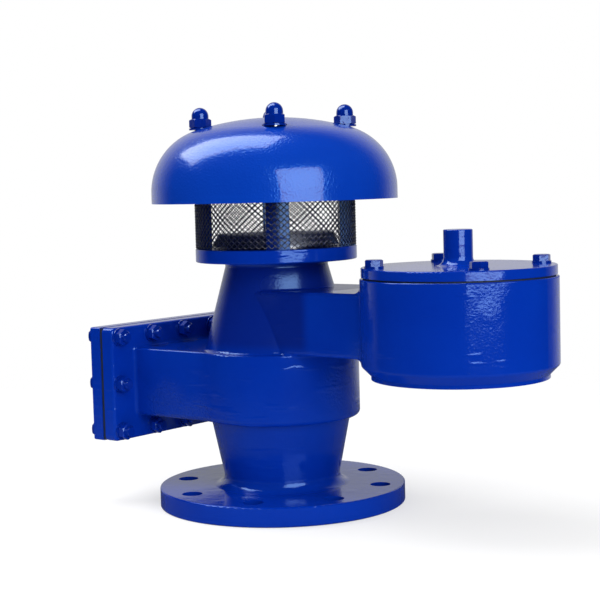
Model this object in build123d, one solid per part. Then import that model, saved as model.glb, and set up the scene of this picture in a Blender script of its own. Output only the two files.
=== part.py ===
from build123d import *
import math
import os

# Breather valve with a drawer-type flame arrester, for the vent of a DN100 storage tank.
# Millimetres, +Z up. The origin is the centre of the tank flange's underside.
# +X runs to the vacuum chamber on its arm, -X to the cover of the arrester drawer.
# Gas leaves upwards past the pressure pallet, and air enters through the floor of the chamber.

# Tank flange
flange_d = 220.0
flange_t = 17.0
flange_edge = 20.0
flange_hole_count = 8
flange_hole_d = 18.0
bore_d = 84.0

# Cones and waist of the casting
neck_d = 100.0
neck_fillet = 9.0
lower_cone_d = 124.6
lower_cone_h = 60.5
waist_d = 142.6
waist_h = 61.5
waist_round = 5.0
upper_cone_d = 131.6
upper_cone_h = 78.0
upper_cone_fillet = 3.0
throat_d = 89.0
throat_bore_d = 74.0
throat_fillet = 4.0
wall = 8.0

# Collar that carries the pressure seat, and the four hood pillars on it
collar_d = 143.4
collar_h = 12.0
collar_round = 1.2
pillar_h = 95.0
pillar_w = 20.0
pillar_outer_d = 141.0
pillar_inner_d = 115.0
pillar_angle = 40.4
pillar_count = 4

# Slot for the arrester drawer, with its bolted flange
slot_w = 112.6
slot_ledge = 5.0
slot_mouth_x = -129.25
duct_round = 1.5
duct_flange_t = 12.35
duct_flange_w = 185.4
duct_flange_h = 102.6
duct_flange_round = 5.0
duct_flange_edge_round = 2.5
duct_flange_fillet = 3.5
duct_waist_fillet = 50.0
duct_cover_t = 11.2
duct_cover_round = 2.0
duct_gasket_t = 3.5
duct_gasket_inset = 1.0
duct_bolt_pitch = 42.0
duct_bolt_rows = 5
duct_bolt_edge = 8.7

# Arrester drawer and its crimped-ribbon element
drawer_clear = 0.5
drawer_side = 4.0
drawer_lip_w = 3.6
drawer_lip_t = 3.0
drawer_floor_t = 5.0
drawer_wall = 6.5
element_clear = 0.3
ribbon_t = 0.7
ribbon_ring_count = 6
ribbon_crimp_pitch = 9.0
ribbon_core_d = 10.0
grid_t = 3.0
grid_rim_w = 4.0
grid_bar_w = 5.0

# Pressure seat, its stem guide and the pallet on it
seat_pocket_d = 100.0
seat_pocket_h = 9.0
seat_fit = 0.2
guide_rim_t = 3.5
guide_arm_w = 6.0
guide_arm_count = 3
guide_hub_d = 18.0
guide_hub_h = 20.0
seat_lip_h = 4.0
seat_lip_d = 92.0
seat_bore_d = 82.0
pallet_d = 111.0
pallet_top_d = 103.2
pallet_t = 6.0
pallet_edge_h = 1.0
pallet_recess_d = 101.0
pallet_rim_clear = 1.5
seal_d = 98.0
seal_t = 2.0
pressure_weight_d = 64.0
pressure_weight_t = 7.5
stem_d = 10.0
stem_clear = 0.3
pressure_lift = 20.0
stop_clear = 0.5

# Rain hood
hood_d = 218.0
hood_rim_z = 269.5
hood_top_z = 343.0
hood_t = 4.0
hood_crown_r = 240.0
hood_shoulder_r = 57.0
hood_boss_d = 22.0
hood_spot_d = 21.2
hood_spot_z = 333.5
hood_stud_d = 10.0
hood_stud_hole_d = 11.0
hood_stud_depth = 20.0
hood_stud_pcd = 128.0
thread_fit = 0.1
outlet_screen_t = 0.8
screen_clear = 0.3

# Vacuum chamber on its arm
chamber_x = 190.0
chamber_d = 162.0
chamber_floor_z = 126.0
chamber_h = 79.5
chamber_chamfer = 8.0
chamber_round = 3.0
chamber_cover_d = 159.5
chamber_cover_t = 7.7
chamber_cover_round = 1.0
chamber_gasket_t = 1.4
chamber_gasket_inset = 1.5
chamber_bolt_pcd = 139.0
chamber_bolt_count = 4
chamber_bolt_angle = 45.0
chamber_lug_d = 18.0
chamber_lug_h = 24.0
cover_boss_d = 24.0
cover_boss_h = 29.4
cover_boss_roof = 3.0
cover_boss_fillet = 7.0
arm_w = 100.0
arm_h = 54.0
arm_round = 4.0
arm_cone_fillet = 2.0
arm_chamber_fillet = 5.0

# Vacuum seat in the chamber floor and the pallet on it
vacuum_bore_d = 100.0
vacuum_seat_d = 112.0
vacuum_seat_pocket_h = 3.0
vacuum_seat_flange_t = 5.0
vacuum_seat_lip_d = 92.0
vacuum_seat_lip_h = 4.0
vacuum_seat_bore_d = 84.0
vacuum_pallet_d = 106.0
vacuum_pallet_t = 5.0
vacuum_weight_d = 60.0
vacuum_weight_t = 10.0
vacuum_stem_d = 12.0
vacuum_stem_flange_d = 24.0
vacuum_stem_flange_t = 3.0
vacuum_lift = 18.0

# Air inlet under the chamber
inlet_ring_d = 146.0
inlet_ring_t = 3.0
inlet_opening_d = 104.0
inlet_screen_d = 116.0
inlet_screen_t = 1.2
inlet_screw_pcd = 132.0
inlet_screw_count = 4
inlet_screw_d = 5.0
inlet_screw_head_d = 9.6
inlet_screw_l = 8.0

# Fasteners: across flats and heights of the standard sizes
m8_d = 8.0
m8_hole_d = 9.0
m8_flats = 13.0
m8_head_h = 5.3
m8_nut_h = 6.5
m8_washer_d = 16.0
m8_washer_t = 1.6
m8_thread_out = 4.0
m10_flats = 17.0
m10_thin_nut_h = 5.0
m10_cap_hex_h = 8.0
m10_cap_h = 18.0
m10_cap_dome_d = 15.0
m10_washer_d = 20.0
m10_washer_t = 1.6
hex_face = 0.95
hex_chamfer_angle = 30.0
m12_flats = 19.0
m12_thin_nut_h = 6.0
chamber_bolt_l = 25.0
over = 1.0
touch = 0.05

# Sizes that follow from their neighbours
flange_pcd = flange_d - 2 * flange_edge
duct_w = slot_w + 2 * wall
element_d = slot_w - 2 * (drawer_clear + drawer_wall + element_clear)
ledge_r = slot_w / 2 - slot_ledge

# Levels, from the tank flange upwards
waist_z0 = flange_t + lower_cone_h
waist_z1 = waist_z0 + waist_h
collar_z0 = waist_z1 + upper_cone_h
collar_z1 = collar_z0 + collar_h
pillar_z1 = collar_z1 + pillar_h
slot_z0 = waist_z0 + wall
slot_z1 = waist_z1 - wall
slot_axis_z = (waist_z0 + waist_z1) / 2
seat_z0 = collar_z1 - seat_pocket_h
seat_lip_z = collar_z1 + seat_lip_h
pallet_z0 = seat_lip_z + seal_t
pallet_z1 = pallet_z0 + pallet_t
pallet_rim_z = collar_z1 + pallet_rim_clear
arm_z0 = waist_z1
arm_z1 = arm_z0 + arm_h
chamber_top_z = chamber_floor_z + chamber_h
chamber_cover_z0 = chamber_top_z + chamber_gasket_t
chamber_cover_z1 = chamber_cover_z0 + chamber_cover_t
cover_boss_z1 = chamber_cover_z1 + cover_boss_h
vacuum_seat_z0 = chamber_floor_z + wall - vacuum_seat_pocket_h
vacuum_lip_z = vacuum_seat_z0 + vacuum_seat_flange_t + vacuum_seat_lip_h
vacuum_pallet_z0 = vacuum_lip_z + seal_t
vacuum_pallet_z1 = vacuum_pallet_z0 + vacuum_pallet_t


def turned(outline, rounds=None):
    """Turn a closed outline of (radius, height) points about the vertical axis.

    rounds gives the fillet radius of a corner by its place in the outline.
    """
    sketch = make_face(Polyline(*outline, close=True))
    for index, radius in (rounds or {}).items():
        corner = sketch.vertices().sort_by_distance(Vector(*outline[index]))[0]
        sketch = fillet(corner, radius)
    return revolve(Plane.XZ * sketch, Axis.Z)


def rod(diameter, z0, z1, x=0.0, y=0.0):
    """Upright cylinder between two levels."""
    return Pos(x, y, (z0 + z1) / 2) * Cylinder(diameter / 2, z1 - z0)


def block(x0, x1, y0, y1, z0, z1):
    """Box between two corners."""
    centre = Pos((x0 + x1) / 2, (y0 + y1) / 2, (z0 + z1) / 2)
    return centre * Box(x1 - x0, y1 - y0, z1 - z0)


def hex_bar(flats, z0, z1, bore=0.0, seat=False):
    """Upright hexagon bar with chamfered corners, and a hole through it if bore is given.

    seat leaves the lower end's corners whole, as under a bolt's head.
    """
    outline = RegularPolygon(flats / 2, 6, major_radius=False)
    if bore:
        outline -= Circle(bore / 2)
    bar = extrude(Pos(0, 0, z0) * outline, z1 - z0)
    corner_r = flats / math.sqrt(3) + touch
    face_r = hex_face * flats / 2
    drop = (corner_r - face_r) * math.tan(math.radians(hex_chamfer_angle))
    low_end = [(corner_r, z0)] if seat else [(face_r, z0), (corner_r, z0 + drop)]
    high_end = [(corner_r, z1 - drop), (face_r, z1)]
    return bar & turned([(0, z0)] + low_end + high_end + [(0, z1)])


def washer(outer_d, hole_d, z0, thickness):
    """Flat washer."""
    return extrude(Pos(0, 0, z0) * (Circle(outer_d / 2) - Circle(hole_d / 2)), thickness)


def around(pcd, count, start, x=0.0):
    """Places on a bolt circle."""
    return Pos(x, 0, 0) * PolarLocations(pcd / 2, count, start)


def within(edges, x0, x1, half_y, z0, z1):
    """Edges that lie wholly inside a box centred on Y = 0."""
    low = (x0 - touch, -half_y - touch, z0 - touch)
    high = (x1 + touch, half_y + touch, z1 + touch)
    chosen = []
    for edge in edges:
        bounds = edge.bounding_box()
        starts = zip(low, bounds.min)
        ends = zip(bounds.max, high)
        if all(a <= b for a, b in starts) and all(a <= b for a, b in ends):
            chosen.append(edge)
    return chosen


def save(node, solid):
    """Write one piece."""
    export_step(solid, f"parts/{node}.step")


os.makedirs("parts", exist_ok=True)

# Valve body: one casting of flange, cones, waist, drawer duct, collar, pillars, arm and chamber
body_outline = [
    (0, 0),
    (flange_d / 2, 0),
    (flange_d / 2, flange_t),
    (neck_d / 2, flange_t),
    (lower_cone_d / 2, waist_z0),
    (upper_cone_d / 2, waist_z1),
    (throat_d / 2, collar_z0),
    (collar_d / 2, collar_z0),
    (collar_d / 2, collar_z1),
    (0, collar_z1),
]
body_rounds = {
    1: collar_round,
    2: collar_round,
    3: neck_fillet,
    6: throat_fillet,
    7: collar_round,
    8: collar_round,
}
column = turned(body_outline, body_rounds)

# Waist and duct: one drum, with the duct's sides blended into its round wall
waist_plan = Circle(waist_d / 2) + Pos(slot_mouth_x / 2, 0) * Rectangle(-slot_mouth_x, duct_w)
corner = [point for point in waist_plan.vertices() if point.X > slot_mouth_x + touch]
waist_plan = fillet(corner, duct_waist_fillet)
waist = extrude(Pos(0, 0, waist_z0) * waist_plan, waist_h)
waist = fillet(waist.faces().sort_by(Axis.Z)[0].edges(), waist_round)
waist = fillet(waist.faces().sort_by(Axis.Z)[-1].edges(), duct_round)

# Drawer flange, rounded on the side of the nuts
duct_flange = block(
    slot_mouth_x,
    slot_mouth_x + duct_flange_t,
    -duct_flange_w / 2,
    duct_flange_w / 2,
    slot_axis_z - duct_flange_h / 2,
    slot_axis_z + duct_flange_h / 2,
)
duct_flange = fillet(duct_flange.edges().filter_by(Axis.X), duct_flange_round)
nut_side = duct_flange.faces().sort_by(Axis.X)[-1]
duct_flange = fillet(nut_side.edges(), duct_flange_edge_round)

arm = block(0, chamber_x, -arm_w / 2, arm_w / 2, arm_z0, arm_z1)
arm = fillet(arm.edges().filter_by(Axis.X), arm_round)
chamber_outline = [
    (0, chamber_floor_z),
    (chamber_d / 2 - chamber_chamfer, chamber_floor_z),
    (chamber_d / 2, chamber_floor_z + chamber_chamfer),
    (chamber_d / 2, chamber_top_z),
    (0, chamber_top_z),
]
chamber = Pos(chamber_x, 0, 0) * turned(chamber_outline, {2: chamber_round, 3: collar_round})

pillar_plan = Circle(pillar_outer_d / 2) - Circle(pillar_inner_d / 2)
pillar_strip = Pos(pillar_outer_d / 2, 0) * Rectangle(pillar_outer_d, pillar_w)
pillar_plan = Pos(0, 0, collar_z1) * (pillar_plan & pillar_strip)
pillar = extrude(pillar_plan, pillar_h)
pillars = [Rot(0, 0, pillar_angle + 360 / pillar_count * n) * pillar for n in range(pillar_count)]

casting = column + waist + duct_flange + arm + chamber

# Fillets where the drawer flange, the arm and the upper cone run into their neighbours
flange_x = slot_mouth_x + duct_flange_t
corner = within(casting.edges(), flange_x, flange_x, duct_w / 2, waist_z0, waist_z1)
casting = fillet(corner, duct_flange_fillet)
pot_x0 = chamber_x - chamber_d / 2
pot_x1 = chamber_x - chamber_d / 4
corner = within(casting.edges(), pot_x0, pot_x1, arm_w / 2, arm_z0, arm_z1)
casting = fillet(corner, arm_chamber_fillet)
cone_r = upper_cone_d / 2
corner = within(casting.edges(), 0, cone_r, arm_w / 2, arm_z0, arm_z1)
corner = [edge for edge in corner if edge.bounding_box().max.Z > arm_z0 + touch]
casting = fillet(corner, arm_cone_fillet)
circles = casting.edges().filter_by(GeomType.CIRCLE)
corner = within(circles, -cone_r, cone_r, cone_r, waist_z1, waist_z1)
corner = [edge for edge in corner if abs(edge.radius - cone_r) < touch]
casting = fillet(corner, upper_cone_fillet)

for pillar in pillars:
    casting += pillar

# Gas passage through the column, from the tank flange to the seat pocket
passage = turned([
    (0, -over),
    (bore_d / 2, -over),
    (bore_d / 2, flange_t),
    (ledge_r, slot_z0),
    (ledge_r, waist_z1),
    (throat_bore_d / 2, collar_z0),
    (throat_bore_d / 2, seat_z0),
    (seat_pocket_d / 2, seat_z0),
    (seat_pocket_d / 2, collar_z1 + over),
    (0, collar_z1 + over),
])

# Slot of the drawer: straight sides with a round end under the column
slot_plan = Circle(slot_w / 2) + Pos(slot_mouth_x / 2, 0) * Rectangle(-slot_mouth_x, slot_w)
slot = extrude(Pos(0, 0, slot_z0) * slot_plan, slot_z1 - slot_z0)

# Passage of the arm, from the column to the chamber, and the hollow of the chamber
arm_passage = block(
    0,
    chamber_x,
    -arm_w / 2 + wall,
    arm_w / 2 - wall,
    arm_z0 + wall,
    arm_z1 - wall,
)
chamber_hollow = rod(chamber_d - 2 * wall, chamber_floor_z + wall, chamber_top_z, chamber_x)
lug_outline = [
    (0, -chamber_lug_h - chamber_lug_d / 2),
    (chamber_lug_d / 2, -chamber_lug_h),
    (chamber_lug_d / 2, 0),
    (0, 0),
]
lug = Pos(0, 0, chamber_top_z) * turned(lug_outline)
for place in around(chamber_bolt_pcd, chamber_bolt_count, chamber_bolt_angle, chamber_x):
    chamber_hollow -= place * lug

casting -= passage
casting -= slot
casting -= arm_passage
casting -= chamber_hollow
casting -= rod(vacuum_bore_d, chamber_floor_z - over, chamber_top_z - over, chamber_x)
casting -= rod(vacuum_seat_d, vacuum_seat_z0, chamber_floor_z + wall + over, chamber_x)

# Holes of the casting: tank flange, drawer flange, pillars, chamber top and inlet ring
for place in PolarLocations(flange_pcd / 2, flange_hole_count, 180 / flange_hole_count):
    casting -= place * rod(flange_hole_d, -over, flange_t + over)

duct_bolt_y = [(n - (duct_bolt_rows - 1) / 2) * duct_bolt_pitch for n in range(duct_bolt_rows)]
duct_bolt_z = duct_flange_h / 2 - duct_bolt_edge
duct_bolt_places = [(y, z) for y in duct_bolt_y for z in (-duct_bolt_z, duct_bolt_z)]
duct_bolt_places += [(duct_bolt_y[0], 0), (duct_bolt_y[-1], 0)]


def on_duct(solid):
    """Copies of an upright piece at each drawer bolt, its axis turned to point to -X."""
    turn = Rot(0, -90, 0)
    return [Pos(slot_mouth_x, y, slot_axis_z + z) * turn * solid for y, z in duct_bolt_places]


duct_reach = duct_gasket_t + duct_cover_t
for hole in on_duct(rod(m8_hole_d, -duct_flange_t - over, duct_reach + over)):
    casting -= hole

stud_hole = rod(hood_stud_d + thread_fit, pillar_z1 - hood_stud_depth, pillar_z1 + over)
for place in around(hood_stud_pcd, pillar_count, pillar_angle):
    casting -= place * stud_hole

chamber_bolt_reach = chamber_bolt_l - m8_washer_t - chamber_cover_t - chamber_gasket_t
chamber_tap = rod(m8_d + thread_fit, chamber_top_z - chamber_bolt_reach - over, chamber_top_z + over)
for place in around(chamber_bolt_pcd, chamber_bolt_count, chamber_bolt_angle, chamber_x):
    casting -= place * chamber_tap

inlet_screw_top = chamber_floor_z - inlet_ring_t + inlet_screw_l
inlet_tap = rod(inlet_screw_d + thread_fit, chamber_floor_z - over, inlet_screw_top)
for place in around(inlet_screw_pcd, inlet_screw_count, 0, chamber_x):
    casting -= place * inlet_tap
save("valve_body", casting)

# Drawer cover, its gasket, bolts, washers and nuts
cover_x1 = slot_mouth_x - duct_gasket_t
drawer_cover = block(
    cover_x1 - duct_cover_t,
    cover_x1,
    -duct_flange_w / 2,
    duct_flange_w / 2,
    slot_axis_z - duct_flange_h / 2,
    slot_axis_z + duct_flange_h / 2,
)
drawer_cover = fillet(drawer_cover.edges().filter_by(Axis.X), duct_cover_round)
drawer_gasket = block(
    cover_x1,
    slot_mouth_x,
    -duct_flange_w / 2 + duct_gasket_inset,
    duct_flange_w / 2 - duct_gasket_inset,
    slot_axis_z - duct_flange_h / 2 + duct_gasket_inset,
    slot_axis_z + duct_flange_h / 2 - duct_gasket_inset,
)
drawer_gasket -= block(
    cover_x1 - over,
    slot_mouth_x + over,
    -slot_w / 2,
    slot_w / 2,
    slot_z0,
    slot_z1,
)
for hole in on_duct(rod(m8_hole_d, -duct_flange_t - over, duct_reach + over)):
    drawer_cover -= hole
    drawer_gasket -= hole
save("drawer_cover", drawer_cover)
save("drawer_cover_gasket", drawer_gasket)

nut_face = -duct_flange_t - m8_washer_t
bolt_tip = nut_face - m8_nut_h - m8_thread_out
drawer_bolt = rod(m8_d, bolt_tip, duct_reach)
drawer_bolt += hex_bar(m8_flats, duct_reach, duct_reach + m8_head_h, seat=True)
drawer_washer = washer(m8_washer_d, m8_hole_d, nut_face, m8_washer_t)
drawer_nut = hex_bar(m8_flats, nut_face - m8_nut_h, nut_face, m8_d + thread_fit)
save("drawer_cover_bolts", Compound(children=on_duct(drawer_bolt)))
save("drawer_cover_washers", Compound(children=on_duct(drawer_washer)))
save("drawer_cover_nuts", Compound(children=on_duct(drawer_nut)))

# Arrester drawer: slides out to -X once its cover is off, and holds the element in a bore
drawer_z0 = slot_z0
drawer_z1 = slot_z1 - drawer_clear
drawer_r = slot_w / 2 - drawer_clear
drawer_x0 = slot_mouth_x + drawer_clear
drawer_plan = Circle(drawer_r)
drawer_plan += Pos(drawer_x0 / 2, 0) * Rectangle(-drawer_x0, 2 * drawer_r)
drawer = extrude(Pos(0, 0, drawer_z0) * drawer_plan, drawer_z1 - drawer_z0)
element_bore_d = element_d + 2 * element_clear
drawer -= rod(element_bore_d, drawer_z0 + drawer_lip_t, drawer_z1 + over)
drawer -= rod(element_bore_d - 2 * drawer_lip_w, drawer_z0 - over, drawer_z1)
drawer -= block(
    drawer_x0 + drawer_side,
    -element_bore_d / 2 - drawer_side,
    -drawer_r + drawer_side,
    drawer_r - drawer_side,
    drawer_z0 + drawer_floor_t,
    drawer_z1 + over,
)
save("arrester_drawer", drawer)

# Crimped-ribbon element: rings of triangular channels between flat ribbons
element_z0 = drawer_z0 + drawer_lip_t + grid_t
element_z1 = drawer_z1 - grid_t
ring_depth = (element_d / 2 - ribbon_t - ribbon_core_d / 2) / ribbon_ring_count


def channel(r_base, r_tip, angle, half_angle):
    """One triangular channel, drawn in from its ribbons by half their thickness."""
    base_0 = (r_base * math.cos(angle - half_angle), r_base * math.sin(angle - half_angle))
    base_1 = (r_base * math.cos(angle + half_angle), r_base * math.sin(angle + half_angle))
    tip = (r_tip * math.cos(angle), r_tip * math.sin(angle))
    return Wire.make_polygon([base_0, base_1, tip])


channels = []
for ring in range(ribbon_ring_count):
    r_in = ribbon_core_d / 2 + ring * ring_depth + ribbon_t / 2
    r_out = r_in + ring_depth - ribbon_t
    crimps = round(math.pi * (r_in + r_out) / ribbon_crimp_pitch)
    step = math.pi / crimps
    for n in range(crimps):
        inner_half = step - ribbon_t / r_in
        outer_half = step - ribbon_t / r_out
        channels.append(channel(r_in, r_out - ribbon_t, 2 * n * step, inner_half))
        channels.append(channel(r_out, r_in + ribbon_t, (2 * n + 1) * step, outer_half))
element_face = Face(Wire.make_circle(element_d / 2), channels)
element = extrude(Pos(0, 0, element_z0) * element_face, element_z1 - element_z0)
save("arrester_ribbon_element", element)

# Retaining grids above and below the element
grid_plan = Circle(element_d / 2) - Circle(element_d / 2 - grid_rim_w)
grid_plan += Rectangle(element_d - grid_rim_w, grid_bar_w)
grid_plan += Rectangle(grid_bar_w, element_d - grid_rim_w)
lower_grid = extrude(Pos(0, 0, element_z0 - grid_t) * grid_plan, grid_t)
upper_grid = extrude(Pos(0, 0, element_z1) * grid_plan, grid_t)
save("arrester_retaining_grids", Compound(children=[lower_grid, upper_grid]))

# Stem guide: a rim in the seat pocket, arms and a long hub below the seat
guide_plan = Circle(seat_pocket_d / 2 - seat_fit) - Circle(throat_bore_d / 2)
guide_arm = Pos(throat_bore_d / 4, 0) * Rectangle(throat_bore_d / 2 + over, guide_arm_w)
for n in range(guide_arm_count):
    guide_plan += Rot(0, 0, 360 / guide_arm_count * n) * guide_arm
stem_guide = extrude(Pos(0, 0, seat_z0) * guide_plan, guide_rim_t)
guide_z0 = seat_z0 + guide_rim_t - guide_hub_h
stem_guide += rod(guide_hub_d, guide_z0, seat_z0 + guide_rim_t)
stem_guide -= rod(stem_d + 2 * stem_clear, guide_z0 - over, collar_z1)
save("pressure_stem_guide", stem_guide)

# Pressure seat ring, clamping the guide and ending in a raised seating lip
seat_ring_z0 = seat_z0 + guide_rim_t
pressure_seat = turned([
    (throat_bore_d / 2, seat_ring_z0),
    (seat_pocket_d / 2 - seat_fit, seat_ring_z0),
    (seat_pocket_d / 2 - seat_fit, collar_z1),
    (seat_lip_d / 2, collar_z1),
    (seat_lip_d / 2, seat_lip_z),
    (seat_bore_d / 2, seat_lip_z),
])
save("pressure_seat_ring", pressure_seat)

# Pressure pallet with its seal, weight, stem and nuts
stem_bore_d = stem_d + thread_fit
pressure_pallet = turned([
    (stem_bore_d / 2, pallet_z0),
    (pallet_recess_d / 2, pallet_z0),
    (pallet_recess_d / 2, pallet_rim_z),
    (pallet_d / 2, pallet_rim_z),
    (pallet_d / 2, pallet_rim_z + pallet_edge_h),
    (pallet_top_d / 2, pallet_z1),
    (stem_bore_d / 2, pallet_z1),
])
pressure_seal = washer(seal_d, stem_bore_d, seat_lip_z, seal_t)
weight_z0 = seat_lip_z - pressure_weight_t
nut_pocket_d = m10_flats * 2 / math.sqrt(3) + 2 * stem_clear
pressure_weight = turned([
    (stem_bore_d / 2, weight_z0 + m10_thin_nut_h),
    (nut_pocket_d / 2, weight_z0 + m10_thin_nut_h),
    (nut_pocket_d / 2, weight_z0),
    (pressure_weight_d / 2, weight_z0),
    (pressure_weight_d / 2, seat_lip_z),
    (stem_bore_d / 2, seat_lip_z),
])
stop_nut_z1 = guide_z0 - pressure_lift - stop_clear
stop_nut_z0 = stop_nut_z1 - 2 * m10_thin_nut_h
stem_z0 = stop_nut_z0 - m8_thread_out
stem_z1 = pallet_z1 + m10_thin_nut_h + m8_thread_out
pressure_stem = rod(stem_d, stem_z0, stem_z1)
top_nut = hex_bar(m10_flats, pallet_z1, pallet_z1 + m10_thin_nut_h, stem_bore_d)
clamp_nut = hex_bar(m10_flats, weight_z0, weight_z0 + m10_thin_nut_h, stem_bore_d)
stop_nut = hex_bar(m10_flats, stop_nut_z0, stop_nut_z1, stem_bore_d)
save("pressure_pallet", pressure_pallet)
save("pressure_pallet_seal", pressure_seal)
save("pressure_pallet_weight", pressure_weight)
save("pressure_stem", pressure_stem)
save("pressure_stem_nuts", Compound(children=[top_nut, clamp_nut, stop_nut]))

# Rain hood: a crown and a tighter shoulder that meet tangentially over a straight skirt
crown_z = hood_top_z - hood_crown_r
shoulder_x = hood_d / 2 - hood_shoulder_r
shoulder_z = crown_z + math.sqrt((hood_crown_r - hood_shoulder_r) ** 2 - shoulder_x ** 2)
meet_angle = math.atan2(shoulder_z - crown_z, shoulder_x)


def dome(inset):
    """Solid under the hood's surface, drawn in by inset."""
    crown_r = hood_crown_r - inset
    shoulder_r = hood_shoulder_r - inset
    rim = (hood_d / 2 - inset, hood_rim_z)
    skirt_top = (hood_d / 2 - inset, shoulder_z)
    meet = (crown_r * math.cos(meet_angle), crown_z + crown_r * math.sin(meet_angle))
    apex = (0, crown_z + crown_r)
    mid_shoulder = (
        shoulder_x + shoulder_r * math.cos(meet_angle / 2),
        shoulder_z + shoulder_r * math.sin(meet_angle / 2),
    )
    crown_mid_angle = (meet_angle + math.pi / 2) / 2
    mid_crown = (
        crown_r * math.cos(crown_mid_angle),
        crown_z + crown_r * math.sin(crown_mid_angle),
    )
    outline = [
        Line((0, hood_rim_z), rim),
        Line(rim, skirt_top),
        ThreePointArc(skirt_top, mid_shoulder, meet),
        ThreePointArc(meet, mid_crown, apex),
        Line(apex, (0, hood_rim_z)),
    ]
    return revolve(Plane.XZ * make_face(outline), Axis.Z)


hood_solid = dome(0)
hood = hood_solid - dome(hood_t)
boss = rod(hood_boss_d, pillar_z1, hood_top_z)
boss_limit = rod(pillar_outer_d, pillar_z1, hood_top_z)
spot_face = rod(hood_spot_d, hood_spot_z, hood_top_z + over)
hood_hole = rod(hood_stud_hole_d, pillar_z1 - over, hood_top_z + over)
for place in around(hood_stud_pcd, pillar_count, pillar_angle):
    trimmed_boss = place * boss & boss_limit
    hood += trimmed_boss & hood_solid
for place in around(hood_stud_pcd, pillar_count, pillar_angle):
    hood -= place * spot_face
    hood -= place * hood_hole
save("hood", hood)

# Hood studs, washers and domed cap nuts
hood_nut_z = hood_spot_z + m10_washer_t
stud_z1 = hood_nut_z + m10_cap_h - m10_cap_dome_d / 2
hood_stud = rod(hood_stud_d, pillar_z1 - hood_stud_depth + thread_fit, stud_z1 - stop_clear)
hood_washer = washer(m10_washer_d, hood_stud_hole_d, hood_spot_z, m10_washer_t)
cap_nut = hex_bar(m10_flats, hood_nut_z, hood_nut_z + m10_cap_hex_h)
cap_nut += rod(m10_cap_dome_d, hood_nut_z, stud_z1)
cap_nut += Pos(0, 0, stud_z1) * Sphere(m10_cap_dome_d / 2)
cap_nut -= rod(hood_stud_d + thread_fit, hood_nut_z - over, stud_z1)
hood_places = around(hood_stud_pcd, pillar_count, pillar_angle)
save("hood_studs", Compound(children=[place * hood_stud for place in hood_places]))
save("hood_washers", Compound(children=[place * hood_washer for place in hood_places]))
save("hood_cap_nuts", Compound(children=[place * cap_nut for place in hood_places]))

# Outlet screen: a sleeve of mesh round the pillars, from the collar to the hood
screen_r = pillar_outer_d / 2 + screen_clear
screen_top_r = screen_r + outlet_screen_t
under_crown_r = hood_shoulder_r - hood_t
under_hood_z = shoulder_z + math.sqrt(under_crown_r ** 2 - (screen_top_r - shoulder_x) ** 2)
outlet_screen = extrude(
    Pos(0, 0, collar_z1) * (Circle(screen_top_r) - Circle(screen_r)),
    under_hood_z - screen_clear - collar_z1,
)
save("outlet_screen", outlet_screen)

# Chamber cover with the blind boss that guides the vacuum stem, and its gasket
guide_bore_d = vacuum_stem_d + 2 * stem_clear
guide_bore_z1 = cover_boss_z1 - cover_boss_roof
chamber_cover = turned(
    [
        (guide_bore_d / 2, chamber_cover_z0),
        (chamber_cover_d / 2, chamber_cover_z0),
        (chamber_cover_d / 2, chamber_cover_z1),
        (cover_boss_d / 2, chamber_cover_z1),
        (cover_boss_d / 2, cover_boss_z1),
        (0, cover_boss_z1),
        (0, guide_bore_z1),
        (guide_bore_d / 2, guide_bore_z1),
    ],
    {2: chamber_cover_round, 3: cover_boss_fillet, 4: chamber_cover_round},
)
chamber_gasket = washer(
    chamber_cover_d - 2 * chamber_gasket_inset,
    chamber_d - 2 * wall,
    chamber_top_z,
    chamber_gasket_t,
)
chamber_cover = Pos(chamber_x, 0, 0) * chamber_cover
chamber_gasket = Pos(chamber_x, 0, 0) * chamber_gasket
cover_hole = rod(m8_hole_d, chamber_top_z - over, chamber_cover_z1 + over)
chamber_places = around(chamber_bolt_pcd, chamber_bolt_count, chamber_bolt_angle, chamber_x)
for place in chamber_places:
    chamber_cover -= place * cover_hole
    chamber_gasket -= place * cover_hole
save("chamber_cover", chamber_cover)
save("chamber_cover_gasket", chamber_gasket)

chamber_washer = washer(m8_washer_d, m8_hole_d, chamber_cover_z1, m8_washer_t)
chamber_head_z = chamber_cover_z1 + m8_washer_t
chamber_bolt = rod(m8_d, chamber_head_z - chamber_bolt_l, chamber_head_z)
chamber_bolt += hex_bar(m8_flats, chamber_head_z, chamber_head_z + m8_head_h, seat=True)
save("chamber_cover_washers", Compound(children=[place * chamber_washer for place in chamber_places]))
save("chamber_cover_bolts", Compound(children=[place * chamber_bolt for place in chamber_places]))

# Vacuum seat ring, pressed into the chamber floor
vacuum_seat = turned([
    (vacuum_seat_bore_d / 2, chamber_floor_z),
    (vacuum_bore_d / 2 - seat_fit, chamber_floor_z),
    (vacuum_bore_d / 2 - seat_fit, vacuum_seat_z0),
    (vacuum_seat_d / 2 - seat_fit, vacuum_seat_z0),
    (vacuum_seat_d / 2 - seat_fit, vacuum_seat_z0 + vacuum_seat_flange_t),
    (vacuum_seat_lip_d / 2, vacuum_seat_z0 + vacuum_seat_flange_t),
    (vacuum_seat_lip_d / 2, vacuum_lip_z),
    (vacuum_seat_bore_d / 2, vacuum_lip_z),
])
save("vacuum_seat_ring", Pos(chamber_x, 0, 0) * vacuum_seat)

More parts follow.
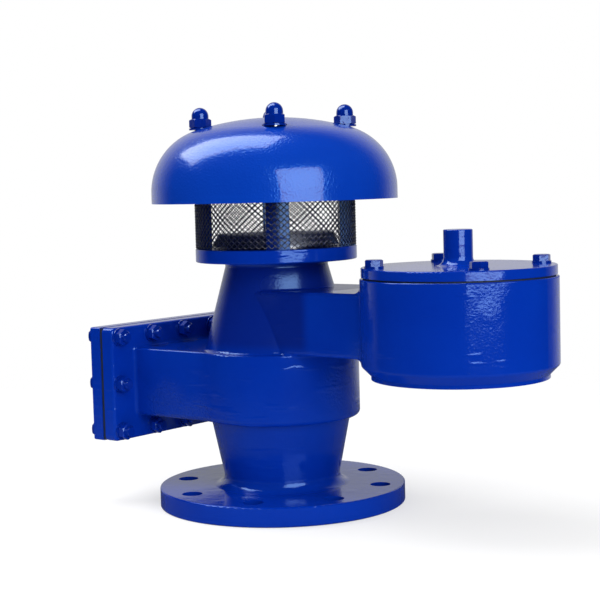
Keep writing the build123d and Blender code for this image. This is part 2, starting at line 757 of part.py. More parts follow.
# Vacuum pallet with its seal, weight, flanged stem and nut
vacuum_bore = vacuum_stem_d + thread_fit
vacuum_weight_z1 = vacuum_pallet_z1 + vacuum_weight_t
vacuum_nut_z1 = vacuum_weight_z1 + m12_thin_nut_h
vacuum_stem_z1 = guide_bore_z1 - vacuum_lift - stop_clear
vacuum_pallet = washer(vacuum_pallet_d, vacuum_bore, vacuum_pallet_z0, vacuum_pallet_t)
vacuum_seal = washer(seal_d, vacuum_stem_flange_d + thread_fit, vacuum_lip_z, seal_t)
vacuum_weight = washer(vacuum_weight_d, vacuum_bore, vacuum_pallet_z1, vacuum_weight_t)
vacuum_stem = rod(vacuum_stem_d, vacuum_pallet_z0, vacuum_stem_z1)
vacuum_stem += rod(
    vacuum_stem_flange_d,
    vacuum_pallet_z0 - vacuum_stem_flange_t,
    vacuum_pallet_z0,
)
vacuum_nut = hex_bar(m12_flats, vacuum_weight_z1, vacuum_nut_z1, vacuum_bore)
at_chamber = Pos(chamber_x, 0, 0)
save("vacuum_pallet", at_chamber * vacuum_pallet)
save("vacuum_pallet_seal", at_chamber * vacuum_seal)
save("vacuum_pallet_weight", at_chamber * vacuum_weight)
save("vacuum_stem", at_chamber * vacuum_stem)
save("vacuum_stem_nut", at_chamber * vacuum_nut)

# Air inlet: a ring under the chamber floor that traps a disc of mesh
inlet_z0 = chamber_floor_z - inlet_ring_t
screen_z0 = chamber_floor_z - inlet_screen_t
inlet_ring = rod(inlet_ring_d, inlet_z0, chamber_floor_z)
inlet_ring -= rod(inlet_opening_d, inlet_z0 - over, chamber_floor_z + over)
inlet_ring -= rod(inlet_screen_d + 2 * screen_clear, screen_z0, chamber_floor_z + over)
screw_head_h = (inlet_screw_head_d - inlet_screw_d) / 2
inlet_screw = turned([
    (0, inlet_z0),
    (inlet_screw_head_d / 2, inlet_z0),
    (inlet_screw_d / 2, inlet_z0 + screw_head_h),
    (inlet_screw_d / 2, inlet_z0 + inlet_screw_l - stop_clear),
    (0, inlet_z0 + inlet_screw_l - stop_clear),
])
inlet_sink = turned([
    (0, inlet_z0 - over),
    (inlet_screw_head_d / 2 + over, inlet_z0 - over),
    (inlet_screw_d / 2 + thread_fit, inlet_z0 + screw_head_h + thread_fit),
    (inlet_screw_d / 2 + thread_fit, chamber_floor_z + over),
    (0, chamber_floor_z + over),
])
inlet_places = around(inlet_screw_pcd, inlet_screw_count, 0)
for place in inlet_places:
    inlet_ring -= place * inlet_sink
inlet_screen = rod(inlet_screen_d, screen_z0, chamber_floor_z)
save("vacuum_inlet_ring", at_chamber * inlet_ring)
save("vacuum_inlet_screen", at_chamber * inlet_screen)
save("vacuum_inlet_screws", Compound(children=[at_chamber * place * inlet_screw for place in inlet_places]))
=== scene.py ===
# %% [markdown]
# # A flame arrester breather valve, dressed and lit
#
# The valve stands on a storage tank and lets it breathe. Vapour lifts a pallet under the rain
# hood, and air comes in through the round chamber on the side arm. The solids come from the CAD
# frame, already at their real size and place. This lesson gives them a glossy blue enamel over
# cast skin, weaves the two wire screens, and lights the result like a photograph for a catalogue.

# %% Tools and the frame
import math

import bmesh
import bpy
from mathutils import Matrix, Vector


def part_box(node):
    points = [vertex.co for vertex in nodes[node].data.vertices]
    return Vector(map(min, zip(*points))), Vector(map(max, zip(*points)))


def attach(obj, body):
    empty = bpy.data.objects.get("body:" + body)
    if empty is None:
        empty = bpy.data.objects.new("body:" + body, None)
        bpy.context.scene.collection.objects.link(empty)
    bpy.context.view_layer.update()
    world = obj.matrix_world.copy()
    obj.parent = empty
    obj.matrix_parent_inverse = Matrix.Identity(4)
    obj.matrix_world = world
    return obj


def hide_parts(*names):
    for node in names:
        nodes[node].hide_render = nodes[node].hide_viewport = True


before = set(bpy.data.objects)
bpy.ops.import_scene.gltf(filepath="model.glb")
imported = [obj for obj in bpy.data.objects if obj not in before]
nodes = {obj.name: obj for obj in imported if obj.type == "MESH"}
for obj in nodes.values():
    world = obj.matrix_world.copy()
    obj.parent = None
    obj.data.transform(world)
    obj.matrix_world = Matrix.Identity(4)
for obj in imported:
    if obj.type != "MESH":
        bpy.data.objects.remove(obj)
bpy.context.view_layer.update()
print("pieces in the frame:", len(nodes))

# %% [markdown]
# ## The camera
#
# A product photograph like this one is taken from eye height with a fairly long lens. The place
# of a camera can be found by trial, or worked out from things of known size. Here the round tank
# flange, the collar and the hood's rim gave the distance, the turn and the tilt, so the numbers
# below are plain measures of where a photographer stood: how far away, how high, how far round.

# %% Camera
camera_distance = 1.329
camera_height = 0.286
camera_azimuth = math.radians(38.98)
camera_pan = math.radians(0.86)
camera_pitch = math.radians(4.54)
camera_roll = math.radians(-1.54)
lens_mm = 89.56
film_mm = 36.0


def turn_about_z(angle):
    return Matrix.Rotation(angle, 4, "Z")


# A camera looks down its own -Z, so it is first tipped up to the horizon, then turned and tilted.
stand = turn_about_z(camera_azimuth) @ Matrix.Translation((0, -camera_distance, camera_height))
aim = turn_about_z(-camera_pan) @ Matrix.Rotation(math.pi / 2 - camera_pitch, 4, "X")
camera_data = bpy.data.cameras.new("camera")
camera_data.lens = lens_mm
camera_data.sensor_width = film_mm
camera = bpy.data.objects.new("camera", camera_data)
camera.matrix_world = stand @ aim @ Matrix.Rotation(camera_roll, 4, "Z")
bpy.context.scene.collection.objects.link(camera)
bpy.context.scene.camera = camera
bpy.context.scene.view_settings.view_transform = "Standard"
print("camera at", [round(v, 3) for v in camera.matrix_world.translation])

# %% [markdown]
# ## Sums on sockets
#
# A finish is a small calculation that Blender repeats at every point of a surface. Wiring each
# step by hand hides the calculation, so this cell wraps a socket in a class that knows how to
# add, subtract, multiply and raise to a power. Each operator adds one Math node. Every other kind
# of node comes from one method of the second class, so a finish reads like a recipe.

# %% Sums and recipes
class Reading:
    """One socket of a node tree that can take part in sums."""

    def __init__(self, tree, socket):
        self.tree = tree
        self.socket = socket

    def calculate(self, operation, first, second):
        node = self.tree.nodes.new("ShaderNodeMath")
        node.operation = operation
        for slot, value in zip(node.inputs, (first, second)):
            if isinstance(value, Reading):
                self.tree.links.new(value.socket, slot)
            else:
                slot.default_value = value
        return Reading(self.tree, node.outputs[0])

    def __add__(self, other):
        return self.calculate("ADD", self, other)

    def __radd__(self, other):
        return self.calculate("ADD", other, self)

    def __sub__(self, other):
        return self.calculate("SUBTRACT", self, other)

    def __rsub__(self, other):
        return self.calculate("SUBTRACT", other, self)

    def __mul__(self, other):
        return self.calculate("MULTIPLY", self, other)

    def __rmul__(self, other):
        return self.calculate("MULTIPLY", other, self)

    def __pow__(self, other):
        return self.calculate("POWER", self, other)


class Recipe:
    """A node tree that is filled step by step."""

    def __init__(self, tree):
        self.tree = tree
        self.tree.nodes.clear()

    def node(self, kind, settings=None, values=None, output=0):
        """Add a node: its settings first, then a value or a link for each socket named."""
        node = self.tree.nodes.new("ShaderNode" + kind)
        for name, setting in (settings or {}).items():
            setattr(node, name, setting)
        for name, value in (values or {}).items():
            if isinstance(value, Reading):
                self.tree.links.new(value.socket, node.inputs[name])
            else:
                node.inputs[name].default_value = value
        return Reading(self.tree, node.outputs[output]) if node.outputs else None


print("a reading can be added, subtracted, multiplied and raised to a power")

# %% [markdown]
# Six small steps come back in nearly every finish of this lesson, so each gets a name here. All
# of them work from places on the object in metres, and none needs an unwrapped surface.

# %% Steps of a finish
def new_finish(name):
    """A material with an empty recipe, and the place on the object as its first reading."""
    material = bpy.data.materials.new(name)
    material.use_nodes = True
    recipe = Recipe(material.node_tree)
    return material, recipe, recipe.node("TexCoord", output="Object")


def noise(recipe, place, scale, detail=1.0):
    """Soft noise with the given number of cells to the metre."""
    return recipe.node("TexNoise", values={"Vector": place, "Scale": scale, "Detail": detail})


def stretch(recipe, place, factors):
    """The place with each of its coordinates scaled by its own factor."""
    return recipe.node("VectorMath", {"operation": "MULTIPLY"}, {0: place, 1: factors})


def fade(recipe, value, start, end, low=0.0, high=1.0):
    """A smooth step of a value, from low at start to high at end."""
    limits = {"From Min": start, "From Max": end, "To Min": low, "To Max": high}
    return recipe.node("MapRange", {"interpolation_type": "SMOOTHSTEP"}, {"Value": value, **limits})


def blend(recipe, share, first, second):
    """A colour between two others, which are inputs 6 and 7 of the node."""
    return recipe.node("Mix", {"data_type": "RGBA"}, {"Factor": share, 6: first, 7: second}, output=2)


def bump(recipe, height):
    """The normal of a skin whose height is given in metres."""
    return recipe.node("Bump", values={"Strength": 1.0, "Distance": 1.0, "Height": height})


def length(recipe, vector):
    """The distance from the origin, in metres."""
    return recipe.node("VectorMath", {"operation": "LENGTH"}, {0: vector}, output="Value")


print("recipe steps:", [step.__name__ for step in (noise, stretch, fade, blend, bump, length)])

# %% [markdown]
# ## The studio
#
# Glossy paint shows its surroundings, so the surroundings matter as much as the paint. The valve
# stands in front of a white sweep: seen at a glancing angle its sides mirror that white and turn
# pale, while its front mirrors the dark room behind the photographer and stays a deep blue. The
# world below gives the camera plain white, gives reflections a white rear and a dark front, and
# lights everything else softly, more from above than from the sides, so that the hood shades the
# neck under it.

# %% World
fill_from_sides = 0.30
fill_from_above = 0.70
fill_full_at = 0.85
dark_room = 0.0
sweep_white = 0.55
sweep_from = 0.35
sweep_full_at = 0.90
behind = (-math.sin(camera_azimuth), math.cos(camera_azimuth), 0.0)

world = bpy.data.worlds.new("studio")
bpy.context.scene.world = world
world.use_nodes = True
studio = Recipe(world.node_tree)
seen_by_camera = studio.node("LightPath", output="Is Camera Ray")
seen_in_gloss = studio.node("LightPath", output="Is Glossy Ray")
direction = studio.node("TexCoord", output="Generated")
toward_sweep = {0: direction, 1: behind}
facing = studio.node("VectorMath", {"operation": "DOT_PRODUCT"}, toward_sweep, output="Value")
sweep = fade(studio, facing, sweep_from, sweep_full_at, dark_room, sweep_white)
height = studio.node("SeparateXYZ", values={0: direction}, output="Z")
fill = fade(studio, height, 0.0, fill_full_at, fill_from_sides, fill_from_above)
other_rays = 1 - seen_by_camera - seen_in_gloss
strength = seen_by_camera + seen_in_gloss * sweep + other_rays * fill
glow = studio.node("Background", values={"Color": (1, 1, 1, 1), "Strength": strength})
studio.node("OutputWorld", values={"Surface": glow})
print("world nodes:", len(world.node_tree.nodes))

# %% [markdown]
# ## The floor
#
# The floor is pale paper that catches a soft shadow. A floor that ends shows an edge, and one
# that goes on for ever shows a horizon. This one is a round sheet that fades out to nothing
# around the valve, so that paper and background meet without a line. It lies a hair under the
# flange, so that the two faces never fight for the same place.

# %% Floor sheet
floor_radius = 1.6
floor_sides = 96
floor_drop = 0.0002

sheet = bmesh.new()
bmesh.ops.create_circle(sheet, cap_ends=True, segments=floor_sides, radius=floor_radius)
floor_mesh = bpy.data.meshes.new("floor")
sheet.to_mesh(floor_mesh)
sheet.free()
floor = bpy.data.objects.new("floor", floor_mesh)
floor.location.z = -floor_drop
bpy.context.scene.collection.objects.link(floor)
print("floor across:", 2 * floor_radius, "m")

# %% [markdown]
# In a photograph for a catalogue the shadow is lifted until it is only just there, so for the
# camera the paper is partly plain white. In the paint it mirrors as dark paper, because a pale
# mirrored floor would wash the blue out. From below the paper is clear, which leaves the valve's
# underside in view.

# %% Floor paper
fade_start = 0.40
fade_end = 0.95
shadow_lift = 0.55
paper_white = (0.95, 0.95, 0.95, 1)
paper_in_gloss = (0.10, 0.11, 0.13, 1)

paper, recipe, place = new_finish("paper")
faded = fade(recipe, length(recipe, place), fade_start, fade_end)
seen_by_camera = recipe.node("LightPath", output="Is Camera Ray")
seen_in_gloss = recipe.node("LightPath", output="Is Glossy Ray")
matt = recipe.node("BsdfDiffuse", values={"Color": blend(recipe, seen_in_gloss, paper_white, paper_in_gloss)})
white = recipe.node("Emission", values={"Color": (1, 1, 1, 1), "Strength": 1.0})
clear = recipe.node("BsdfTransparent")
lifted = recipe.node("MixShader", values={0: seen_by_camera * shadow_lift, 1: matt, 2: white})
from_below = recipe.node("NewGeometry", output="Backfacing")
see_through = 1 - (1 - faded) * (1 - from_below)
sheet_of_paper = recipe.node("MixShader", values={0: see_through, 1: lifted, 2: clear})
recipe.node("OutputMaterial", values={"Surface": sheet_of_paper})
floor_mesh.materials.append(paper)
print("paper fades from", fade_start, "to", fade_end, "m")

# %% [markdown]
# ## The lamps
#
# Two soft boxes light the valve. A tall one stands to the right of the camera: it draws the
# upright bright patch on the shoulder of the hood and on the chamber. A long one hangs to the
# left, high up and a little behind: it draws the long highlight over the dome. Their places
# follow from the mirror rule, which sends a ray that leaves the camera from the highlight to
# the lamp. The tall one ends just low enough for the top of the chamber's wall to mirror its
# edge, so that further down only ripples of the paint catch it.

# %% Lamps
lamps_aim_at = Vector((0.03, 0.0, 0.18))


def soft_box(name, right_of_camera, elevation, distance, width, height, radiance):
    """A rectangular lamp that faces the valve, placed by the angles at which it is seen."""
    turn = camera_azimuth + math.radians(right_of_camera)
    rise = math.radians(elevation)
    away = Vector((math.sin(turn) * math.cos(rise), -math.cos(turn) * math.cos(rise), math.sin(rise)))
    facing_back = away.to_track_quat("Z", "Y").to_matrix().to_4x4()
    data = bpy.data.lights.new(name, "AREA")
    data.shape = "RECTANGLE"
    data.size = width
    data.size_y = height
    data.energy = radiance * math.pi * width * height
    lamp = bpy.data.objects.new(name, data)
    lamp.matrix_world = Matrix.Translation(lamps_aim_at + away * distance) @ facing_back
    lamp.visible_camera = False
    bpy.context.scene.collection.objects.link(lamp)
    return lamp


key = soft_box(
    "tall_soft_box",
    right_of_camera=24,
    elevation=18,
    distance=1.7,
    width=1.24,
    height=1.31,
    radiance=4.2,
)
top = soft_box(
    "hanging_soft_box",
    right_of_camera=-111,
    elevation=63,
    distance=1.6,
    width=0.88,
    height=1.65,
    radiance=4.6,
)
for lamp in (key, top):
    print(lamp.name, round(lamp.data.energy, 1), "W")

# %% [markdown]
# ## Where the paint differs
#
# Paint on a casting isn't the same all over. It is rougher where the sand mould crumbled, on the neck
# under the hood and on the pillars behind the screen. The neck and the pillars also carry painted
# shade: their blue is darker, in place of the hood's shadow. Three masks say where. They could be
# painted by hand on the surface, but masks worked out from places in metres need no unwrapping and stay put
# at any detail.

# %% Masks of the casting
neck_from = 0.138
neck_full = 0.150, 0.212
neck_to = 0.218
neck_radius = 0.080
neck_edge = 0.010
pillars_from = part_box("outlet_screen")[0].z
pillars_edge = 0.001
spot_core = 0.35


def spot(recipe, place, centre, radius):
    """1 in the middle of a spot on the valve and 0 beyond its radius."""
    gap = recipe.node("VectorMath", {"operation": "DISTANCE"}, {0: place, 1: centre}, output="Value")
    return fade(recipe, gap, radius, radius * spot_core)


def on_neck(recipe, place):
    """1 on the upper cone under the hood, and 0 elsewhere."""
    level = recipe.node("SeparateXYZ", values={0: place}, output="Z")
    radius = length(recipe, stretch(recipe, place, (1, 1, 0)))
    above = fade(recipe, level, neck_from, neck_full[0])
    below = fade(recipe, level, neck_to, neck_full[1])
    return above * below * fade(recipe, radius, neck_radius + neck_edge, neck_radius)


def among_pillars(recipe, place):
    """1 on the pillars behind the screen, and 0 below them."""
    level = recipe.node("SeparateXYZ", values={0: place}, output="Z")
    return fade(recipe, level, pillars_from - pillars_edge, pillars_from)


print("pillars start at", round(pillars_from, 4), "m")

# %% [markdown]
# ## Relief of the paint
#
# The paint is smooth to the touch but not flat. On upright walls wet paint sagged a little before
# it set, so the mirror image of a lamp breaks into level streaks. Everywhere it has a fine orange
# peel, a few pits, and the grain of the sand where the casting was left rough. Modelling relief
# of a tenth of a millimetre would take millions of faces, and a bump map drawn by hand would
# repeat. A few noises, each of its own size, give the same slopes at every place without
# repeating, so their sum feeds a bump.

# %% Relief
sag_stretch = (0.20, 0.20, 1.0)
sag_scale = 170.0
sag_ridges = 0.56, 0.80
sag_gain_where_rough = 1.5
peel_scale = 110.0
pit_scale = 560.0
grain_scale = 420.0
rough_scale = 22.0
rough_from_to = 0.54, 0.70
rough_least_most = 0.03, 0.16
cut_scale = 300.0
cut_stretch = (0.05, 1.0, 1.0)
narrow_side = 0.5, 0.1


def roughness_of_cast(recipe, place, spots):
    """How rough the metal under the paint is: a little anywhere, and much in the spots."""
    rough = fade(recipe, noise(recipe, place, rough_scale, 2.0), *rough_from_to, *rough_least_most)
    for centre, radius, share in spots:
        rough = rough + spot(recipe, place, centre, radius) * share
    return rough


def relief_of_paint(recipe, place, rough, heights):
    """The height of the paint's skin, from heights in metres for sags, peel, pits and grain."""
    sag, peel, pits, grain = heights
    level_streaks = noise(recipe, stretch(recipe, place, sag_stretch), sag_scale, 1.0)
    relief = fade(recipe, level_streaks, *sag_ridges) * (1 + rough * sag_gain_where_rough) * sag
    relief = relief + noise(recipe, place, peel_scale, 1.0) * peel
    relief = relief + noise(recipe, place, pit_scale, 0.0) ** 3 * pits
    return relief + noise(recipe, place, grain_scale, 3.0) * rough * grain


def cut_marks(recipe, place):
    """Flame-cut lines across the narrow sides of a plate that faces along X."""
    normal = recipe.node("NewGeometry", output="Normal")
    along = recipe.node("SeparateXYZ", values={0: normal}, output="X")
    on_narrow_side = fade(recipe, along * along, *narrow_side)
    return noise(recipe, stretch(recipe, place, cut_stretch), cut_scale, 2.0) * on_narrow_side


scales = sag_scale, peel_scale, grain_scale
print("sizes in the relief, in mm:", [round(1000 / scale, 1) for scale in scales])

# %% [markdown]
# ## Blue enamel
#
# The valve was sprayed with a thick cobalt enamel, and its highlights stay blue: what shines is
# partly the pigment just under the surface. So the mirror image of a lamp is tinted here, and a
# thin clear coat over it brings back a little plain white. The coat has no relief of its own,
# which suits the smooth hood; the rough casting does without it.

# %% Enamel
# Painted shade: a darker blue for the neck, in place of the hood's shadow.
neck_shade_blue = (0.0002, 0.012, 0.200, 1)
# Painted shade: a darker blue for the pillars behind the screen, in the hood's shadow.
pillar_shade_blue = (0.0002, 0.007, 0.110, 1)
cloud_scale = 13.0
dull_on_neck = 0.10
dull_on_pillars = 0.06
dull_where_rough = 0.08
coat_roughness = 0.08


def enamel(name, colours, gleam, heights, coat, roughness, spots=(), casting=False, cuts=0.0):
    """Glossy paint between two blues with relief; on the casting, the masks add painted shade."""
    material, recipe, place = new_finish(name)
    rough = roughness_of_cast(recipe, place, spots)
    relief = relief_of_paint(recipe, place, rough, heights)
    if cuts:
        relief = relief + cut_marks(recipe, place) * cuts
    colour = blend(recipe, noise(recipe, place, cloud_scale, 3.0), *colours)
    if casting:
        neck = on_neck(recipe, place)
        pillars = among_pillars(recipe, place)
        roughness = roughness + dull_on_neck * neck + dull_on_pillars * pillars
        # Painted shade: the neck is coloured darker where the hood shades it.
        colour = blend(recipe, neck, colour, neck_shade_blue)
        # Painted shade: the pillars behind the screen are coloured darker in the hood's shadow.
        colour = blend(recipe, pillars, colour, pillar_shade_blue)
    uneven = {
        "Base Color": colour,
        "Roughness": roughness + dull_where_rough * rough,
        "Normal": bump(recipe, relief),
    }
    shine = {
        "Specular IOR Level": 1.0,
        "Specular Tint": gleam,
        "Coat Weight": coat,
        "Coat Roughness": coat_roughness,
    }
    paint = recipe.node("BsdfPrincipled", values={**uneven, **shine})
    recipe.node("OutputMaterial", values={"Surface": paint})
    return material


print("the blue drifts about every", round(1000 / cloud_scale), "mm")

# %% [markdown]
# The same paint looks different on each part. The casting has the strongest grain, and the rough
# spots listed here are where it shows most. The spun hood is smooth with a soft gloss, the turned
# cover lies between the two, the plate at the end of the drawer keeps the marks of the cutting
# torch, and on nuts and bolts the paint is thick and lumpy.

# %% Five enamels
body_blues = (0.0003, 0.018, 0.275, 1), (0.0010, 0.033, 0.370, 1)
hood_blues = (0.0005, 0.030, 0.350, 1), (0.0020, 0.052, 0.480, 1)
fastener_blues = (0.0003, 0.013, 0.210, 1), (0.0006, 0.024, 0.300, 1)
body_gleam = (0.30, 0.55, 1.0, 1)
hood_gleam = (0.12, 0.42, 1.0, 1)
cast_heights = 0.00012, 0.00008, 0.00006, 0.00045
hood_heights = 0.0, 0.00004, 0.00020, 0.00016
cover_heights = 0.00014, 0.00012, 0.00006, 0.00012
fastener_heights = 0.00008, 0.00030, 0.00010, 0.00010
cut_height = 0.00035
rough_spots = [
    ((0.071, 0.002, 0.105), 0.036, 1.2),
    ((-0.080, -0.063, 0.088), 0.034, 2.2),
    ((-0.040, -0.063, 0.080), 0.028, 2.2),
    ((0.000, -0.066, 0.078), 0.018, 1.2),
    ((0.135, -0.060, 0.135), 0.034, 2.0),
    ((-0.020, -0.058, 0.060), 0.026, 0.8),
    ((0.030, -0.050, 0.200), 0.024, 0.9),
    ((0.255, -0.049, 0.205), 0.020, 0.9),
    ((0.250, -0.052, 0.184), 0.012, 0.9),
]
cast_enamel = enamel(
    "cast_enamel",
    body_blues,
    body_gleam,
    cast_heights,
    coat=0.0,
    roughness=0.11,
    spots=rough_spots,
    casting=True,
)
hood_enamel = enamel("hood_enamel", hood_blues, hood_gleam, hood_heights, coat=0.60, roughness=0.20)
cover_enamel = enamel("cover_enamel", body_blues, body_gleam, cover_heights, coat=0.3, roughness=0.12)
fastener_enamel = enamel(
    "fastener_enamel", fastener_blues, body_gleam, fastener_heights, coat=0.4, roughness=0.11
)
plate_enamel = enamel(
    "plate_enamel", body_blues, body_gleam, cast_heights, coat=0.3, roughness=0.11, cuts=cut_height
)
print("enamels:", [m.name for m in (cast_enamel, hood_enamel, cover_enamel, fastener_enamel, plate_enamel)])

# %% [markdown]
# ## Bare metals
#
# The inner pieces are bare: turned steel seats and stems, a machined drawer and a wound ribbon.
# Turned and wound metal carries fine rings, so its roughness and its relief follow rings about
# the piece's own axis. Pieces on the chamber's axis can't share a finish with those on the
# column's, or their rings would run off centre.

# %% Bare metals
ring_spread = 0.12
smear_spread = 0.12
smear_scale = 60.0
ring_height = 0.00002


def bare_metal(name, colour, roughness, axis=(0, 0, 0), ring_scale=900.0):
    """Turned metal with fine rings about an upright axis."""
    material, recipe, place = new_finish(name)
    from_axis = recipe.node("VectorMath", {"operation": "SUBTRACT"}, {0: place, 1: axis})
    radius = length(recipe, stretch(recipe, from_axis, (1, 1, 0)))
    ring_place = {"W": radius * ring_scale, "Scale": 1.0}
    rings = recipe.node("TexNoise", {"noise_dimensions": "1D"}, ring_place)
    smears = noise(recipe, place, smear_scale, 4.0)
    uneven = {
        "Roughness": roughness + ring_spread * rings + smear_spread * smears,
        "Normal": bump(recipe, rings * ring_height),
    }
    metal = recipe.node("BsdfPrincipled", values={"Base Color": colour, "Metallic": 1.0, **uneven})
    recipe.node("OutputMaterial", values={"Surface": metal})
    return material


stem_low, stem_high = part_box("vacuum_stem")
stem_middle = (stem_low + stem_high) / 2
chamber_axis = (stem_middle.x, stem_middle.y, 0)
steel = (0.60, 0.61, 0.63, 1)
pale_steel = (0.55, 0.56, 0.58, 1)
dull_aluminium = (0.30, 0.33, 0.40, 1)
seat_metal = bare_metal("seat_metal", steel, 0.14)
pallet_metal = bare_metal("pallet_metal", dull_aluminium, 0.25)
stem_metal = bare_metal("stem_metal", pale_steel, 0.12)
vacuum_seat_metal = bare_metal("vacuum_seat_metal", steel, 0.14, chamber_axis)
vacuum_pallet_metal = bare_metal("vacuum_pallet_metal", dull_aluminium, 0.25, chamber_axis)
vacuum_stem_metal = bare_metal("vacuum_stem_metal", pale_steel, 0.12, chamber_axis)
drawer_metal = bare_metal("drawer_metal", (0.70, 0.71, 0.73, 1), 0.28)
ribbon_metal = bare_metal("ribbon_metal", (0.62, 0.62, 0.64, 1), 0.20, ring_scale=2500.0)
print("axis of the chamber:", [round(v, 3) for v in chamber_axis])

# %% [markdown]
# ## Gasket, rubber and iron
#
# The gasket is pressed fibre sheet, and the blue spray caught its edge, so it reads as a dark
# blue line. The seals are black rubber, and the weights rough cast iron. Each is two tones of one
# noise over a soft relief of the same noise, so one function makes all three.

# %% Dull materials
def dull(name, dark, pale, scale, roughness, height, metallic=0.0):
    """A dull material in two tones."""
    material, recipe, place = new_finish(name)
    speckle = noise(recipe, place, scale, 4.0)
    uneven = {
        "Base Color": blend(recipe, speckle, dark, pale),
        "Roughness": roughness + 0.15 * speckle,
        "Normal": bump(recipe, speckle * height),
    }
    surface = recipe.node("BsdfPrincipled", values={"Metallic": metallic, **uneven})
    recipe.node("OutputMaterial", values={"Surface": surface})
    return material


gasket_blues = (0.003, 0.009, 0.030, 1), (0.012, 0.026, 0.060, 1)
rubber_blacks = (0.006, 0.006, 0.006, 1), (0.02, 0.02, 0.02, 1)
iron_greys = (0.03, 0.03, 0.035, 1), (0.08, 0.08, 0.085, 1)
gasket_sheet = dull("gasket_sheet", *gasket_blues, 900, 0.6, 0.0001)
seal_rubber = dull("seal_rubber", *rubber_blacks, 500, 0.45, 0.00003)
weight_iron = dull("weight_iron", *iron_greys, 260, 0.5, 0.0002, 1.0)
print("dull finishes:", gasket_sheet.name, seal_rubber.name, weight_iron.name)

# %% [markdown]
# ## The wire screens
#
# The outlet is wrapped in woven wire laid on the slant, so its holes stand as diamonds. The
# solid in the frame is only a closed sleeve. A picture of a mesh on that sleeve would look flat,
# and the far side would never show through the near one, so here every wire is real: a curve
# that winds up the sleeve on the slant while it weaves over and under its neighbours. One family
# of wires leans left and the other right. The wire is lacquered nearly black and still shines.

# %% Wire
wire_black = (0.004, 0.005, 0.014, 1)
wire_blue = (0.010, 0.018, 0.075, 1)

wire_paint, recipe, place = new_finish("screen_wire")
tint = noise(recipe, place, 45.0, 2.0)
uneven = {"Base Color": blend(recipe, tint, wire_black, wire_blue), "Roughness": 0.16 + 0.15 * tint}
shine = {"Metallic": 0.3, "Specular IOR Level": 1.0, "Coat Weight": 0.8, "Coat Roughness": 0.1}
surface = recipe.node("BsdfPrincipled", values={**uneven, **shine})
recipe.node("OutputMaterial", values={"Surface": surface})


def wire_curve(name, wire_d):
    """An empty curve whose lines are round wires."""
    curve = bpy.data.curves.new(name, "CURVE")
    curve.dimensions = "3D"
    curve.bevel_depth = wire_d / 2
    curve.bevel_resolution = 1
    curve.materials.append(wire_paint)
    return curve


def add_wire(curve, points):
    """One wire through the given points."""
    line = curve.splines.new("POLY")
    line.points.add(len(points) - 1)
    for point, place in zip(line.points, points):
        point.co = (*place, 1.0)


def place_screen(name, curve, node):
    """Put a woven screen in place of its stand-in solid."""
    screen = bpy.data.objects.new(name, curve)
    bpy.context.scene.collection.objects.link(screen)
    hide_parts(node)
    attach(screen, "root")
    print(name, "has", len(curve.splines), "wires")


# %% [markdown]
# The outlet's wires lie a little flatter than 45 degrees: they go 1.12 round for each 1 up. Two
# families of 80 wires cross at even heights, which tells where each wire must be on top.

# %% Outlet screen
wires_each_way = 80
outlet_wire_d = 0.00083
round_per_climb = 1.12
steps_per_crossing = 2

low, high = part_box("outlet_screen")
sleeve_r = high.x - outlet_wire_d
sleeve_z0 = low.z + outlet_wire_d
sleeve_h = high.z - outlet_wire_d - sleeve_z0
crossing = math.pi * sleeve_r / wires_each_way / round_per_climb
steps = round(sleeve_h / crossing) * steps_per_crossing

outlet = wire_curve("outlet_mesh", outlet_wire_d)
for lean in (1, -1):
    for wire in range(wires_each_way):
        start = 2 * math.pi * wire / wires_each_way
        points = []
        for step in range(steps + 1):
            climb = sleeve_h * step / steps
            weave = lean * outlet_wire_d / 2 * math.cos(math.pi * climb / crossing)
            angle = start + lean * climb * round_per_climb / sleeve_r
            radius = sleeve_r + weave
            points.append((radius * math.cos(angle), radius * math.sin(angle), sleeve_z0 + climb))
        add_wire(outlet, points)
place_screen("outlet_mesh", outlet, "outlet_screen")
print("crossings every", round(crossing * 1000, 2), "mm up, points on each wire:", steps + 1)

# %% [markdown]
# The inlet screen under the chamber is a flat disc of the same wire in a square weave. Its wires
# are chords of the disc, so each is as long as the disc is wide at its place.

# %% Inlet screen
inlet_pitch = 0.0026
inlet_wire_d = 0.0006

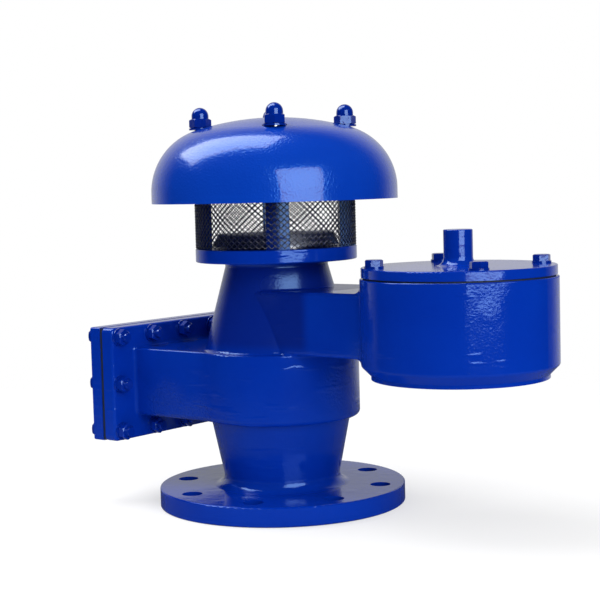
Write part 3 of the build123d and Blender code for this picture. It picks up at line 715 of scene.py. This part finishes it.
low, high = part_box("vacuum_inlet_screen")
middle = (low + high) / 2
disc_r = (high.x - low.x) / 2
rows = int(disc_r / inlet_pitch)
inlet = wire_curve("inlet_mesh", inlet_wire_d)
for along_x in (True, False):
    for row in range(-rows, rows + 1):
        side = row * inlet_pitch
        half = math.sqrt(disc_r ** 2 - side ** 2)
        count = int(half / inlet_pitch)
        points = []
        for step in range(-count, count + 1):
            up = 1 if (row + step) % 2 else -1
            lift = (up if along_x else -up) * inlet_wire_d / 2
            x, y = (step * inlet_pitch, side) if along_x else (side, step * inlet_pitch)
            points.append((middle.x + x, middle.y + y, middle.z + lift))
        if len(points) > 1:
            add_wire(inlet, points)
place_screen("inlet_mesh", inlet, "vacuum_inlet_screen")

# %% [markdown]
# ## Painting the frame's own solids
#
# Every other solid already has its true shape, so it stays and only takes a finish. A table of
# finish to pieces keeps this readable, and any piece missing from it would show up at once as
# the plain grey of the CAD model.

# %% Finishes on the solids
finish_of = {
    cast_enamel: ["valve_body"],
    hood_enamel: ["hood"],
    plate_enamel: ["drawer_cover"],
    cover_enamel: ["chamber_cover", "vacuum_inlet_ring"],
    fastener_enamel: [
        "drawer_cover_bolts",
        "drawer_cover_washers",
        "drawer_cover_nuts",
        "hood_washers",
        "hood_cap_nuts",
        "chamber_cover_bolts",
        "chamber_cover_washers",
    ],
    gasket_sheet: ["drawer_cover_gasket", "chamber_cover_gasket"],
    seal_rubber: ["pressure_pallet_seal", "vacuum_pallet_seal"],
    drawer_metal: ["arrester_drawer"],
    ribbon_metal: ["arrester_ribbon_element", "arrester_retaining_grids"],
    seat_metal: ["pressure_seat_ring", "pressure_stem_guide"],
    vacuum_seat_metal: ["vacuum_seat_ring"],
    pallet_metal: ["pressure_pallet"],
    vacuum_pallet_metal: ["vacuum_pallet"],
    weight_iron: ["pressure_pallet_weight", "vacuum_pallet_weight"],
    stem_metal: ["pressure_stem", "pressure_stem_nuts", "hood_studs"],
    vacuum_stem_metal: ["vacuum_stem", "vacuum_stem_nut", "vacuum_inlet_screws"],
}
painted = 0
for finish, names in finish_of.items():
    for name in names:
        for place in nodes[name].material_slots:
            place.material = finish
        painted += 1
print("solids painted:", painted, "of", len(nodes), "with two screens replaced")
